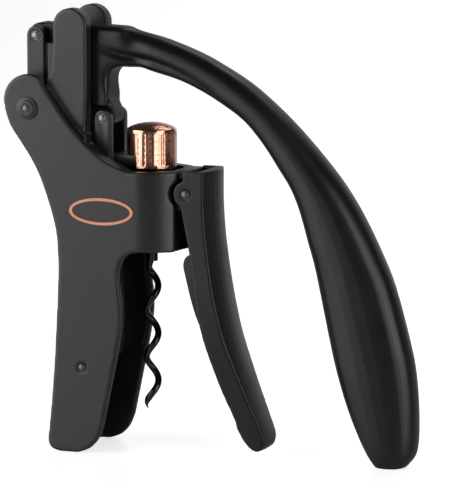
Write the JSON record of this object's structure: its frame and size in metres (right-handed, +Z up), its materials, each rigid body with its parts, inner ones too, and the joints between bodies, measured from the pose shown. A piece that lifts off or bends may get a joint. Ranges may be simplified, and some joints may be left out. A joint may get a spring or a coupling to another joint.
{
  "type": "lever corkscrew",
  "caption": "Lever corkscrew with a hollow grip and neck collar, a clamp lever, a sliding carriage that carries the worm, and a long bent lever with rocker links.",
  "frame": {"origin": "centre of the footprint of the whole object, on the floor it stands on", "axes": "+Z up along the worm's axis, +X from the grip towards the operating lever, Y across the two body walls"},
  "size_m": [0.185, 0.0432, 0.1949],
  "materials": {
    "satin_black": "satin dark charcoal lacquer on die-cast metal",
    "lever_black": "satin near-black lacquer",
    "copper": "turned copper-coloured plating",
    "pin_steel": "dark grey steel",
    "black_rubber": "matt",
    "black_plastic": "matt",
    "white_plastic": "moulded acetal",
    "worm_coating": "smooth low-friction black coating on steel wire"
  },
  "bodies": {
    "body": {"main_body": "satin_black", "top_plate": "satin_black", "tower_front": "satin_black", "tower_rear": "satin_black", "ear_stud_front": "pin_steel", "ear_stud_rear": "pin_steel", "ear_washer_front": "satin_black", "ear_washer_rear": "satin_black", "grip_pin": "pin_steel", "neck_pad": "black_rubber", "stop_ring": "black_plastic", "worm_nut": "white_plastic", "nut_clip": "pin_steel", "clamp_pin": "pin_steel", "badge": "copper"},
    "clamp": {"clamp_lever": "satin_black", "clamp_pad": "black_rubber"},
    "carriage": {"carriage": "lever_black", "slide_shoes": "white_plastic", "knob": "copper", "clevis_pin": "pin_steel", "worm_bearing": "white_plastic"},
    "worm": {"worm": "worm_coating", "worm_shank": "worm_coating", "worm_head": "pin_steel", "worm_clip": "pin_steel"},
    "lever": {"lever_hub": "lever_black", "lever_arm": "lever_black", "lever_bush": "white_plastic", "nose_pin": "pin_steel"},
    "rocker": {"link_front": "satin_black", "link_rear": "satin_black", "rocker_pin": "pin_steel", "rocker_spacer": "pin_steel"}
  },
  "joints": [
    {"name": "carriage_lift", "type": "slide", "parent": "body", "child": "carriage", "axis": [0, 0, 1], "range_m": [0, 0.0708]},
    {"name": "lever_swing", "type": "hinge", "parent": "carriage", "child": "lever", "pos_m": [-0.0499, 0, 0.1468], "axis": [0, -1, 0], "range_deg": [0, 97]},
    {"name": "rocker_swing", "type": "hinge", "parent": "lever", "child": "rocker", "pos_m": [-0.0812, 0, 0.1822], "axis": [0, -1, 0], "range_deg": [-97, 0]},
    {"name": "worm_spin", "type": "hinge", "parent": "carriage", "child": "worm", "pos_m": [-0.0306, 0, 0.1], "axis": [0, 0, 1], "range_deg": [0, 1214]},
    {"name": "clamp_swing", "type": "hinge", "parent": "body", "child": "clamp", "pos_m": [-0.0099, 0, 0.1154], "axis": [0, -1, 0], "range_deg": [-2, 16]}
  ],
  "couplings": [
    {"joint": "carriage_lift", "follows": "lever_swing", "m_per_rad": 0.0418},
    {"joint": "rocker_swing", "follows": "lever_swing", "ratio": -1},
    {"joint": "worm_spin", "follows": "lever_swing", "ratio": 12.507}
  ]
}
